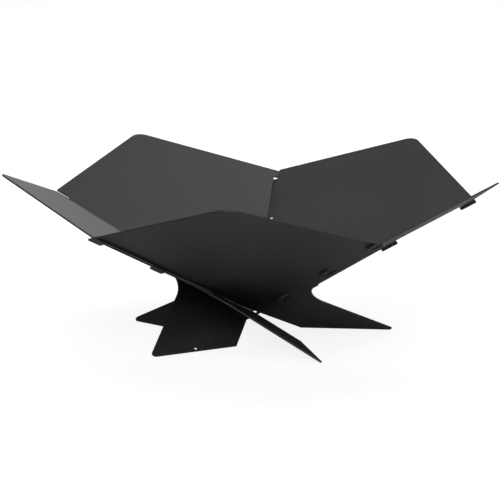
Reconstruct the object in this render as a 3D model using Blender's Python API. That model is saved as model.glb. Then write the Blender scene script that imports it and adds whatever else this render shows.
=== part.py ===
"""Fire pit of five identical flat steel plates that hook into each other.

Each plate is one laser-cut sheet: a wall with a pointed top, three hooks down its left edge, three slots
down its right edge for the hooks of the next plate, and a leg that runs on below that next plate.
All lengths are in metres and +Z is up. The pit stands on the plane z = 0, with the middle of its bounding
box over the origin.
"""
from math import acos, atan, atan2, ceil, cos, pi, radians, sin, tan

import bmesh
import bpy
from mathutils import Euler, Vector

# The ring of plates, named as seen by someone in front of the pit
PLATE_NAMES = ("front_plate", "right_plate", "back_right_plate", "back_left_plate", "left_plate")
WALL_SLOPE = radians(30.6)
SHEET = 0.002
CLEARANCE = 0.0003

# The wall: its rim leaves each joint square and the two halves meet in a rounded point
JOINT_LENGTH = 0.350
APEX_RADIUS = 0.024

# The leg: a band that slants down to the right, cut off level at the foot
LEG_WIDTH = 0.1037
LEG_ANGLE = radians(50.3)
LEG_CENTRE_GAP = 0.0080
FOOT_DROP = 0.0594
FOOT_TIP_RADIUS = 0.005
NOTCH_RADIUS = 0.066

# The hooks on the left edge
HOOK_COUNT = 3
HOOK_PITCH = 0.127
HOOK_LENGTH = 0.025
TOE_LENGTH = 0.0085
TOE_DEPTH = 0.0065
HOOK_CORNER_RADIUS = 0.0018

# The slots in the right edge, and the metal beyond them
CATCH = 0.002
SLIDE = 0.006
SLOT_INNER_PLAY = 0.0012
SLOT_CORNER_RADIUS = 0.0008
MARGIN_WALL = 0.0074
HORN_WIDTH = 0.0026

# The hole that the plate hangs from while it is coated
HANG_HOLE_RADIUS = 0.0025
HANG_HOLE_INSET = 0.0048

# Largest distance between a round stretch and the straight sides that stand for it
ARC_SAG = 0.00003

# Angles that follow from the number of plates and their slope
HALF_TURN = pi / len(PLATE_NAMES)
JOINT_LEAN = atan(tan(HALF_TURN) * cos(WALL_SLOPE))
FOLD = acos(sin(WALL_SLOPE) ** 2 * cos(2 * HALF_TURN) + cos(WALL_SLOPE) ** 2)

# Where the square-cut sheet passes its neighbour, measured across the joint line
EDGE_SETBACK = (SHEET * cos(FOLD) + CLEARANCE) / sin(FOLD)
SHOULDER = (SHEET + CLEARANCE) / sin(FOLD)

LEFT_ALONG = Vector((-sin(JOINT_LEAN), cos(JOINT_LEAN)))
LEFT_ACROSS = Vector((-cos(JOINT_LEAN), -sin(JOINT_LEAN)))
RIGHT_ALONG = Vector((sin(JOINT_LEAN), cos(JOINT_LEAN)))
RIGHT_ACROSS = Vector((cos(JOINT_LEAN), -sin(JOINT_LEAN)))
LEG_DOWN = Vector((cos(LEG_ANGLE), -sin(LEG_ANGLE)))
LEG_OUTWARD = Vector((sin(LEG_ANGLE), cos(LEG_ANGLE)))
LEVEL = Vector((1.0, 0.0))
UPRIGHT = Vector((0.0, 1.0))


def at_left_joint(along, across):
    """Point of the plate, measured along the left joint line from the centre and outwards across it."""
    return LEFT_ALONG * along + LEFT_ACROSS * across


def at_right_joint(along, across):
    """Point of the plate, measured along the right joint line from the centre and outwards across it."""
    return RIGHT_ALONG * along + RIGHT_ACROSS * across


def crossing(point, direction, other_point, other_direction):
    """Point where two lines of the plate cross."""
    turn = direction.cross(other_direction)
    return point + direction * ((other_point - point).cross(other_direction) / turn)


def round_corners(corners):
    """Outline through (point, radius) corners, each radius limited by the shorter side beside it."""
    outline = []
    for index, (corner, radius) in enumerate(corners):
        before = corners[index - 1][0] - corner
        after = corners[(index + 1) % len(corners)][0] - corner
        half_angle = before.angle(after) / 2
        room = min(before.length, after.length) / 2
        radius = min(radius, room * tan(half_angle))
        if radius <= 0:
            outline.append(corner)
            continue
        reach = radius / tan(half_angle)
        start = corner + before.normalized() * reach
        end = corner + after.normalized() * reach
        inward = (before.normalized() + after.normalized()).normalized()
        centre = corner + inward * (radius / sin(half_angle))
        outline.extend(arc(centre, start, end))
    return outline


def arc(centre, start, end):
    """Points of the shorter arc about centre from start to end."""
    spoke = start - centre
    across = Vector((-spoke.y, spoke.x))
    sweep = atan2(across.dot(end - centre), spoke.dot(end - centre))
    steps = ceil(abs(sweep) / side_angle(spoke.length))
    turns = [sweep * step / steps for step in range(steps + 1)]
    return [centre + spoke * cos(turn) + across * sin(turn) for turn in turns]


def side_angle(radius):
    """Angle that one straight side of a round stretch may cover."""
    return 2 * acos(1 - ARC_SAG / radius)


def leg_inner_line():
    """Point on the edge of the leg that faces the centre of the pit."""
    return LEG_OUTWARD * LEG_CENTRE_GAP


def leg_outer_line():
    """Point on the edge of the leg that faces outwards."""
    return LEG_OUTWARD * (LEG_CENTRE_GAP + LEG_WIDTH)


def wall_start():
    """Lower end of the left edge, where the inner edge of the leg cuts it off."""
    return crossing(leg_inner_line(), LEG_DOWN, at_left_joint(0, -EDGE_SETBACK), LEFT_ALONG)


def hook_tops():
    """Distances of the hooks' upper ends along the joint, the first one flush with the rim."""
    return [JOINT_LENGTH - HOOK_PITCH * number for number in range(HOOK_COUNT)]


def hook_corners(top):
    """Corners of one hook, upwards: a neck at its upper end and a toe that points down."""
    neck_foot = top - HOOK_LENGTH + TOE_LENGTH
    tip = SHOULDER + TOE_DEPTH
    return [
        (at_left_joint(neck_foot, -EDGE_SETBACK), SLOT_CORNER_RADIUS),
        (at_left_joint(neck_foot, SHOULDER), SLOT_CORNER_RADIUS),
        (at_left_joint(top - HOOK_LENGTH, SHOULDER), HOOK_CORNER_RADIUS),
        (at_left_joint(top - HOOK_LENGTH, tip), HOOK_CORNER_RADIUS),
        (at_left_joint(top, tip), HOOK_CORNER_RADIUS),
    ]


def left_edge():
    """The left edge from the leg to the rim, with its hooks."""
    corners = [(wall_start(), 0)]
    rim_hook, *lower_hooks = hook_tops()
    for top in reversed(lower_hooks):
        corners += hook_corners(top)
        corners.append((at_left_joint(top, -EDGE_SETBACK), SLOT_CORNER_RADIUS))
    return corners + hook_corners(rim_hook)


def slot_corners(bottom, top):
    """Corners of the cut that a hook goes through, upwards round the cut."""
    inner = -EDGE_SETBACK - SLOT_INNER_PLAY
    return [
        (at_right_joint(top, inner), SLOT_CORNER_RADIUS),
        (at_right_joint(bottom, inner), SLOT_CORNER_RADIUS),
        (at_right_joint(bottom, SHOULDER), SLOT_CORNER_RADIUS),
        (at_right_joint(top, SHOULDER), SLOT_CORNER_RADIUS),
    ]


def right_edge():
    """The rim slot, which is open upwards, the horn beside it, the margin, the notch and the leg."""
    slot_floor = hook_tops()[0] - HOOK_LENGTH + CATCH
    (rim_in, _), floor_in, floor_out, (rim_out, _) = slot_corners(slot_floor, JOINT_LENGTH)
    horn = at_right_joint(JOINT_LENGTH, SHOULDER + HORN_WIDTH)
    margin = at_right_joint(0, SHOULDER + MARGIN_WALL)
    sole = UPRIGHT * -FOOT_DROP
    return [
        (rim_in, 0), floor_in, floor_out, (rim_out, 0), (horn, 0),
        (crossing(horn, UPRIGHT, margin, RIGHT_ALONG), 0),
        (crossing(margin, RIGHT_ALONG, leg_outer_line(), LEG_DOWN), NOTCH_RADIUS),
        (crossing(leg_outer_line(), LEG_DOWN, sole, LEVEL), FOOT_TIP_RADIUS),
        (crossing(leg_inner_line(), LEG_DOWN, sole, LEVEL), 0),
    ]


def plate_outline():
    """The plate's outer contour, clockwise from the lower end of its left edge."""
    apex = UPRIGHT * (JOINT_LENGTH / cos(JOINT_LEAN))
    return round_corners(left_edge() + [(apex, APEX_RADIUS)] + right_edge())


def closed_slots():
    """Contours of the slots below the rim slot."""
    contours = []
    for top in hook_tops()[1:]:
        contours.append(round_corners(slot_corners(top - HOOK_LENGTH + CATCH, top + SLIDE)))
    return contours


def hang_hole():
    """Contour of the small hole in the middle of the foot's straight edge."""
    sole = UPRIGHT * -FOOT_DROP
    heel = crossing(leg_inner_line(), LEG_DOWN, sole, LEVEL)
    point = crossing(leg_outer_line(), LEG_DOWN, sole, LEVEL)
    toe = point - LEVEL * (FOOT_TIP_RADIUS / tan(LEG_ANGLE / 2))
    centre = (heel + toe) / 2 + UPRIGHT * HANG_HOLE_INSET
    sides = ceil(2 * pi / side_angle(HANG_HOLE_RADIUS))
    turns = [2 * pi * side / sides for side in range(sides)]
    return [centre + Vector((cos(turn), sin(turn))) * HANG_HOLE_RADIUS for turn in turns]


def add_contour(curve, points):
    """Closed straight-sided spline through the points, lifted so that the inner face is at zero."""
    spline = curve.splines.new("POLY")
    spline.points.add(len(points) - 1)
    for spline_point, point in zip(spline.points, points):
        spline_point.co = (point.x, point.y, 0.0, 1.0)
    spline.use_cyclic_u = True


def plate_mesh():
    """The cut sheet as one mesh: inner face at z = 0, outer face at z = SHEET."""
    curve = bpy.data.curves.new("plate_contours", "CURVE")
    curve.dimensions = "2D"
    curve.fill_mode = "BOTH"
    curve.extrude = SHEET / 2
    for contour in [plate_outline(), *closed_slots(), hang_hole()]:
        add_contour(curve, contour)
    blank = bpy.data.objects.new("plate_blank", curve)
    bpy.context.scene.collection.objects.link(blank)
    evaluated = blank.evaluated_get(bpy.context.evaluated_depsgraph_get())
    mesh = bpy.data.meshes.new_from_object(evaluated)
    mesh.name = "plate"
    bpy.data.objects.remove(blank)
    work = bmesh.new()
    work.from_mesh(mesh)
    bmesh.ops.remove_doubles(work, verts=work.verts, dist=1e-6)
    bmesh.ops.translate(work, verts=work.verts, vec=(0, 0, SHEET / 2))
    bmesh.ops.recalc_face_normals(work, faces=work.faces)
    work.to_mesh(mesh)
    work.free()
    return mesh


def powder_coat():
    """Matt black powder coat."""
    material = bpy.data.materials.new("black_powder_coat")
    material.use_nodes = True
    shader = material.node_tree.nodes["Principled BSDF"]
    shader.inputs["Base Color"].default_value = (0.022, 0.021, 0.021, 1.0)
    shader.inputs["Roughness"].default_value = 0.55
    shader.inputs["Metallic"].default_value = 0.0
    return material


def plate_turn(number):
    """Rotation of a plate: outer face down and outwards, turned to its side of the ring."""
    return Euler((pi - WALL_SLOPE, 0, 2 * HALF_TURN * number))


def ring_middle(mesh):
    """Middle of the ring's bounding box, seen from above, with the centre point at zero."""
    turns = [plate_turn(number) for number in range(len(PLATE_NAMES))]
    corners = [turn.to_matrix() @ vertex.co for turn in turns for vertex in mesh.vertices]
    across = [corner.x for corner in corners]
    deep = [corner.y for corner in corners]
    return (min(across) + max(across)) / 2, (min(deep) + max(deep)) / 2


def build():
    """The five plates round the centre point, over the middle of the box that they fill."""
    for old in list(bpy.data.objects):
        bpy.data.objects.remove(old)
    collection = bpy.data.collections.new("fire_pit")
    bpy.context.scene.collection.children.link(collection)
    mesh = plate_mesh()
    mesh.materials.append(powder_coat())
    middle_x, middle_y = ring_middle(mesh)
    height = FOOT_DROP * sin(WALL_SLOPE) + SHEET * cos(WALL_SLOPE)
    for number, name in enumerate(PLATE_NAMES):
        plate = bpy.data.objects.new(name, mesh)
        plate.rotation_euler = plate_turn(number)
        plate.location = (-middle_x, -middle_y, height)
        collection.objects.link(plate)


build()
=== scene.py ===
from math import cos, pi, radians, sin

import bmesh
import bpy
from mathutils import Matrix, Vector


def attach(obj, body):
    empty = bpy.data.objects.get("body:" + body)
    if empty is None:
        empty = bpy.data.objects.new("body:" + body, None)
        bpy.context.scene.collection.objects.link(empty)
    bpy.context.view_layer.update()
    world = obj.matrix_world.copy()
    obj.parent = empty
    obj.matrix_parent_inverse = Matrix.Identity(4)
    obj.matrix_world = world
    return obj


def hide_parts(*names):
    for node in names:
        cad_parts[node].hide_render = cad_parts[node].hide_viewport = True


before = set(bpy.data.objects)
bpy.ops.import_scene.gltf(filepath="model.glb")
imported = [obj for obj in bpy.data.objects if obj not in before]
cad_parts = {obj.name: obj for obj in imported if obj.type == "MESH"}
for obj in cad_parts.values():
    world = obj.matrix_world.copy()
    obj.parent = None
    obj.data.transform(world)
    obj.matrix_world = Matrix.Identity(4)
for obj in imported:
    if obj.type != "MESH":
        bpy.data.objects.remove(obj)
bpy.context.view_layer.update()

# The plates. Five sheets of 2 mm mild steel, laser cut alike, deburred and powder coated matt black.
# Each is hooked through the slots of the one beside it, and its leg runs on below that neighbour.
# One plate is softened along its arrises, and the ring rule turns it to its five places.
PLATE_NAMES = ("front_plate", "right_plate", "back_right_plate", "back_left_plate", "left_plate")
WELD_DISTANCE = 1e-6
ARRIS_RADIUS = 0.00035
ARRIS_STEPS = 3
FLAT_ANGLE = radians(0.5)
ARRIS_ANGLE = radians(40)
SMOOTH_ANGLE = radians(35)


def ring_axis():
    """Point of the ground under the ring's axis: the middle of the plates' mean positions."""
    total = Vector()
    for name in PLATE_NAMES:
        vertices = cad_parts[name].data.vertices
        total += sum((vertex.co for vertex in vertices), Vector()) / len(vertices)
    middle = total / len(PLATE_NAMES)
    return Vector((middle.x, middle.y, 0.0))


def cut_plate(node):
    """A clean copy of one cut sheet: its triangles joined into flat faces, with softened arrises."""
    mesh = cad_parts[node].data.copy()
    mesh.materials.clear()
    if "custom_normal" in mesh.attributes:
        mesh.attributes.remove(mesh.attributes["custom_normal"])
    sheet = bmesh.new()
    sheet.from_mesh(mesh)
    cut_edge = sheet.faces.layers.float.new("cut_edge")
    bmesh.ops.remove_doubles(sheet, verts=sheet.verts, dist=WELD_DISTANCE)
    bmesh.ops.dissolve_limit(sheet, angle_limit=FLAT_ANGLE, verts=sheet.verts, edges=sheet.edges)
    across = max(sheet.faces, key=lambda face: face.calc_area()).normal.copy()

    def broad(face):
        """Whether the face is part of one of the sheet's two broad sides."""
        return abs(face.normal.dot(across)) > cos(FLAT_ANGLE)

    def on_arris(edge):
        """Whether the surface turns a corner here, or leaves a broad side."""
        sides = {broad(face) for face in edge.link_faces}
        return edge.calc_face_angle(0) > ARRIS_ANGLE or len(sides) == 2

    arrises = [edge for edge in sheet.edges if on_arris(edge)]
    bmesh.ops.bevel(sheet, geom=arrises, offset=ARRIS_RADIUS, offset_type="OFFSET",
                    segments=ARRIS_STEPS, profile=0.5, affect="EDGES", clamp_overlap=True)
    for face in sheet.faces:
        face[cut_edge] = 0.0 if broad(face) else 1.0
        face.smooth = True
    for edge in sheet.edges:
        gentle = edge.calc_face_angle(0) < SMOOTH_ANGLE
        edge.smooth = gentle and not any(map(broad, edge.link_faces))
    sheet.to_mesh(mesh)
    sheet.free()
    return mesh


class Wire:
    """An output in a node tree. Expressions of wires and numbers add their own Math nodes."""

    def __init__(self, socket):
        self.socket = socket
        self.tree = socket.id_data

    def node(self, kind, settings, inputs, output=0):
        """A node of that kind, given its settings and then its inputs; returns the named output."""
        made = self.tree.nodes.new(kind)
        for name, setting in settings.items():
            setattr(made, name, setting)
        for name, value in inputs.items():
            if isinstance(value, Wire):
                self.tree.links.new(value.socket, made.inputs[name])
            else:
                made.inputs[name].default_value = value
        return Wire(made.outputs[output])

    def worked_out(self, operation, first, second):
        return self.node("ShaderNodeMath", {"operation": operation}, {0: first, 1: second})

    def __add__(self, other):
        return self.worked_out("ADD", self, other)

    def __sub__(self, other):
        return self.worked_out("SUBTRACT", self, other)

    def __rsub__(self, other):
        return self.worked_out("SUBTRACT", other, self)

    def __mul__(self, other):
        return self.worked_out("MULTIPLY", self, other)

    __radd__ = __add__
    __rmul__ = __mul__

    def between(self, low, high, to_low, to_high):
        """Smooth change from to_low to to_high as this value goes from low to high."""
        return self.node("ShaderNodeMapRange", {"interpolation_type": "SMOOTHSTEP"},
                         {"Value": self, "From Min": low, "From Max": high,
                          "To Min": to_low, "To Max": to_high})

    def noise(self, cells, detail, roughness=0.5):
        """Cloudy pattern over this position, with so many cells to the metre."""
        return self.node("ShaderNodeTexNoise", {},
                         {"Vector": self, "Scale": cells, "Detail": detail, "Roughness": roughness},
                         "Fac")

    def colour(self, red=1.0, blue=1.0):
        """Colour of this level, grey unless its red or its blue is given another share."""
        return self.node("ShaderNodeCombineColor", {},
                         {"Red": self if red == 1.0 else self * red, "Green": self,
                          "Blue": self if blue == 1.0 else self * blue}, "Color")

    def into(self, shader, name):
        self.tree.links.new(self.socket, shader.inputs[name])


COAT_IOR = 1.5
COAT_LEVEL = 0.03
COAT_RED = 1.03
COAT_BLUE = 0.99
COAT_ROUGHNESS = (0.50, 0.55)
CLOUD_CELLS = 7.0
CLOUD_SPAN = (0.3, 0.7)
CLOUD_TONES = (0.85, 1.15)
SPECK_CELLS = 1400.0
SPECK_SPAN = (0.72, 0.8)
SPECK_LEVEL = 0.02
PEEL_CELLS = 620.0
PEEL_SHARE = 0.7
GRIT_CELLS = 2600.0
GRIT_SHARE = 0.3
GRIT_ROUGHNESS = 0.05
CUT_EDGE_GLOSS = 0.14
RELIEF = 0.00012
RELIEF_STRENGTH = 0.35


def powder_coat():
    """Matt black powder: a fine peel, cloudy gloss, and a smoother coat over the cut edges."""
    material = bpy.data.materials.new("matt_black_powder_coat")
    material.use_nodes = True
    tree = material.node_tree
    shader = tree.nodes["Principled BSDF"]
    shader.inputs["IOR"].default_value = COAT_IOR
    place = Wire(tree.nodes.new("ShaderNodeTexCoord").outputs["Object"])
    cut_edge = place.node("ShaderNodeAttribute", {"attribute_name": "cut_edge"}, {}, "Fac")
    cloud = place.noise(CLOUD_CELLS, detail=4.0)
    peel = place.noise(PEEL_CELLS, detail=3.0, roughness=0.55)
    grit = place.noise(GRIT_CELLS, detail=2.0, roughness=0.6)
    speck = place.noise(SPECK_CELLS, detail=1.0).between(*SPECK_SPAN, 0.0, 1.0)
    level = COAT_LEVEL * cloud.between(*CLOUD_SPAN, *CLOUD_TONES) + SPECK_LEVEL * speck
    level.colour(COAT_RED, COAT_BLUE).into(shader, "Base Color")
    roughness = cloud.between(*CLOUD_SPAN, *COAT_ROUGHNESS) + GRIT_ROUGHNESS * grit
    (roughness - CUT_EDGE_GLOSS * cut_edge).into(shader, "Roughness")
    bump = place.node("ShaderNodeBump", {},
                      {"Strength": RELIEF_STRENGTH, "Distance": RELIEF,
                       "Height": peel * PEEL_SHARE + grit * GRIT_SHARE}, "Normal")
    bump.into(shader, "Normal")
    return material


def ring_rule(coat):
    """Tree that turns the plate it is given to its place in the ring, about the ring's axis."""
    tree = bpy.data.node_groups.new("ring_rule", "GeometryNodeTree")
    face = tree.interface
    face.new_socket("Plate", in_out="INPUT", socket_type="NodeSocketGeometry")
    face.new_socket("Plates in the ring", in_out="INPUT", socket_type="NodeSocketInt")
    face.new_socket("Place", in_out="INPUT", socket_type="NodeSocketInt")
    face.new_socket("Axis", in_out="INPUT", socket_type="NodeSocketVector")
    face.new_socket("Plate", in_out="OUTPUT", socket_type="NodeSocketGeometry")
    given = tree.nodes.new("NodeGroupInput").outputs

    def add(kind, settings, inputs):
        """A node of that kind in the tree; returns its first output."""
        made = tree.nodes.new(kind)
        for name, setting in settings.items():
            setattr(made, name, setting)
        for name, value in inputs.items():
            if isinstance(value, bpy.types.NodeSocket):
                tree.links.new(value, made.inputs[name])
            else:
                made.inputs[name].default_value = value
        return made.outputs[0]

    step = add("ShaderNodeMath", {"operation": "DIVIDE"}, {0: 2 * pi, 1: given["Plates in the ring"]})
    turn = add("ShaderNodeMath", {"operation": "MULTIPLY"}, {0: step, 1: given["Place"]})
    rotation = add("ShaderNodeCombineXYZ", {}, {"Z": turn})
    sheet = add("GeometryNodeGeometryToInstance", {}, {0: given["Plate"]})
    turned = add("GeometryNodeRotateInstances", {},
                 {"Instances": sheet, "Rotation": rotation, "Pivot Point": given["Axis"],
                  "Local Space": False})
    real = add("GeometryNodeRealizeInstances", {}, {"Geometry": turned})
    coated = add("GeometryNodeSetMaterial", {}, {"Geometry": real, "Material": coat})
    tree.links.new(coated, tree.nodes.new("NodeGroupOutput").inputs[0])
    return tree


def hang_in_ring(mesh, rule, number, axis):
    """A plain mesh of the plate at its place in the ring."""
    blank = bpy.data.objects.new("blank", mesh)
    bpy.context.scene.collection.objects.link(blank)
    modifier = blank.modifiers.new("ring_rule", "NODES")
    modifier.node_group = rule
    wanted = {"Plates in the ring": len(PLATE_NAMES), "Place": number, "Axis": axis}
    for item in rule.interface.items_tree:
        if item.in_out == "INPUT" and item.name in wanted:
            modifier[item.identifier] = wanted[item.name]
    bpy.context.view_layer.update()
    hung = blank.evaluated_get(bpy.context.evaluated_depsgraph_get())
    made = bpy.data.meshes.new_from_object(hung)
    bpy.data.objects.remove(blank)
    return made


rule = ring_rule(powder_coat())
first_plate = cut_plate(PLATE_NAMES[0])
axis = ring_axis()
for number, name in enumerate(PLATE_NAMES):
    plate = bpy.data.objects.new(name.replace("_plate", "_coated_plate"),
                                 hang_in_ring(first_plate, rule, number, axis))
    bpy.context.scene.collection.objects.link(plate)
    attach(plate, "root")
    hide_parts(name)

# The floor. A flat ground of seamless white paper, wide enough to run out of sight behind the pit.
# The camera sees it burnt out to white but for the pit's soft shadow, and the pit sees pale paper.
FLOOR_RADIUS = 16.0
FLOOR_CORNERS = 96
FLOOR_DROP = 0.0005
PAPER = 0.8
PAPER_ROUGHNESS = 0.9
PAPER_GLOSS = 0.1
PAPER_SHOWN = 0.32
GLOW_SHOWN = 0.86
floor_mesh = bpy.data.meshes.new("floor")
disc = bmesh.new()
bmesh.ops.create_circle(disc, cap_ends=True, segments=FLOOR_CORNERS, radius=FLOOR_RADIUS)
disc.to_mesh(floor_mesh)
disc.free()
floor = bpy.data.objects.new("floor", floor_mesh)
floor.location.z = -FLOOR_DROP
bpy.context.scene.collection.objects.link(floor)

paper = bpy.data.materials.new("white_paper")
paper.use_nodes = True
paper_shader = paper.node_tree.nodes["Principled BSDF"]
paper_shader.inputs["Roughness"].default_value = PAPER_ROUGHNESS
paper_shader.inputs["Specular IOR Level"].default_value = PAPER_GLOSS
paper_shader.inputs["Emission Strength"].default_value = 1.0
shown = Wire(paper.node_tree.nodes.new("ShaderNodeLightPath").outputs["Is Camera Ray"])
(PAPER - (PAPER - PAPER_SHOWN) * shown).colour().into(paper_shader, "Base Color")
(GLOW_SHOWN * shown).colour().into(paper_shader, "Emission Color")
floor_mesh.materials.append(paper)

# The light. Soft boxes at a plain level: one high on either side behind the pit, two broad ones
# before it, a strip far behind it and a weak one at its right, all turned towards the bowl.
# The room shows white behind the paper and sheds no light.
BOWL = Vector((0.0, 0.0, 0.1))


def soft_box(name, place, width, height, watts, tint):
    """An even rectangular lamp that faces the bowl and isn't seen itself."""
    data = bpy.data.lights.new(name, "AREA")
    data.shape = "RECTANGLE"
    data.size = width
    data.size_y = height
    data.energy = watts
    data.color = tint
    lamp = bpy.data.objects.new(name, data)
    lamp.location = place
    lamp.rotation_euler = (BOWL - lamp.location).to_track_quat("-Z", "Y").to_euler()
    lamp.visible_camera = False
    bpy.context.scene.collection.objects.link(lamp)


soft_box("back_right_box", (1.0, 1.6, 2.6), 1.4, 1.4, 19.9, (1.025, 0.985, 0.99))
soft_box("back_left_box", (-1.2, 0.6, 3.2), 1.6, 1.6, 18.4, (0.9, 0.97, 1.13))
soft_box("high_front_box", (0.0, -3.5, 3.5), 5.0, 2.0, 61.5, (1.05, 0.88, 1.07))
soft_box("wide_front_box", (0.0, -4.5, 2.5), 6.0, 2.0, 85.5, (1.06, 1.03, 0.91))
soft_box("back_strip", (-0.2, 5.0, 2.3), 3.0, 0.8, 63.5, (1.03, 1.015, 0.955))
soft_box("right_box", (2.7, -0.5, 1.5), 1.0, 1.0, 8.0, (1.0, 1.0, 1.0))

world = bpy.data.worlds.new("white_room")
bpy.context.scene.world = world
world.use_nodes = True
room = world.node_tree.nodes["Background"]
room.inputs["Strength"].default_value = 1.0
seen = Wire(world.node_tree.nodes.new("ShaderNodeLightPath").outputs["Is Camera Ray"])
seen.colour().into(room, "Color")

# The camera. A long lens at table height, 3.5 m away and a little to the right.
# The angles are those from which the plates' outlines fall on the ones in the reference.
SENSOR_WIDTH = 36.0
FOCAL_LENGTH = 180.26
CAMERA_DISTANCE = 3.5137
CAMERA_TURN = radians(5.8065)
CAMERA_RISE = radians(12.3772)
PIVOT_HEIGHT = 0.03196
AIM_TURN = CAMERA_TURN + radians(0.1325)
AIM_DROP = radians(10.9518)


def direction(turn, rise):
    """Way from the pit out to the front, so far turned to the right and raised."""
    return Vector((sin(turn) * cos(rise), -cos(turn) * cos(rise), sin(rise)))


camera_data = bpy.data.cameras.new("camera")
camera_data.sensor_width = SENSOR_WIDTH
camera_data.lens = FOCAL_LENGTH
camera = bpy.data.objects.new("camera", camera_data)
pivot = axis + Vector((0.0, 0.0, PIVOT_HEIGHT))
camera.location = pivot + direction(CAMERA_TURN, CAMERA_RISE) * CAMERA_DISTANCE
camera.rotation_euler = direction(AIM_TURN, AIM_DROP).to_track_quat("Z", "Y").to_euler()
bpy.context.scene.collection.objects.link(camera)
bpy.context.scene.camera = camera
bpy.context.scene.view_settings.view_transform = "Standard"
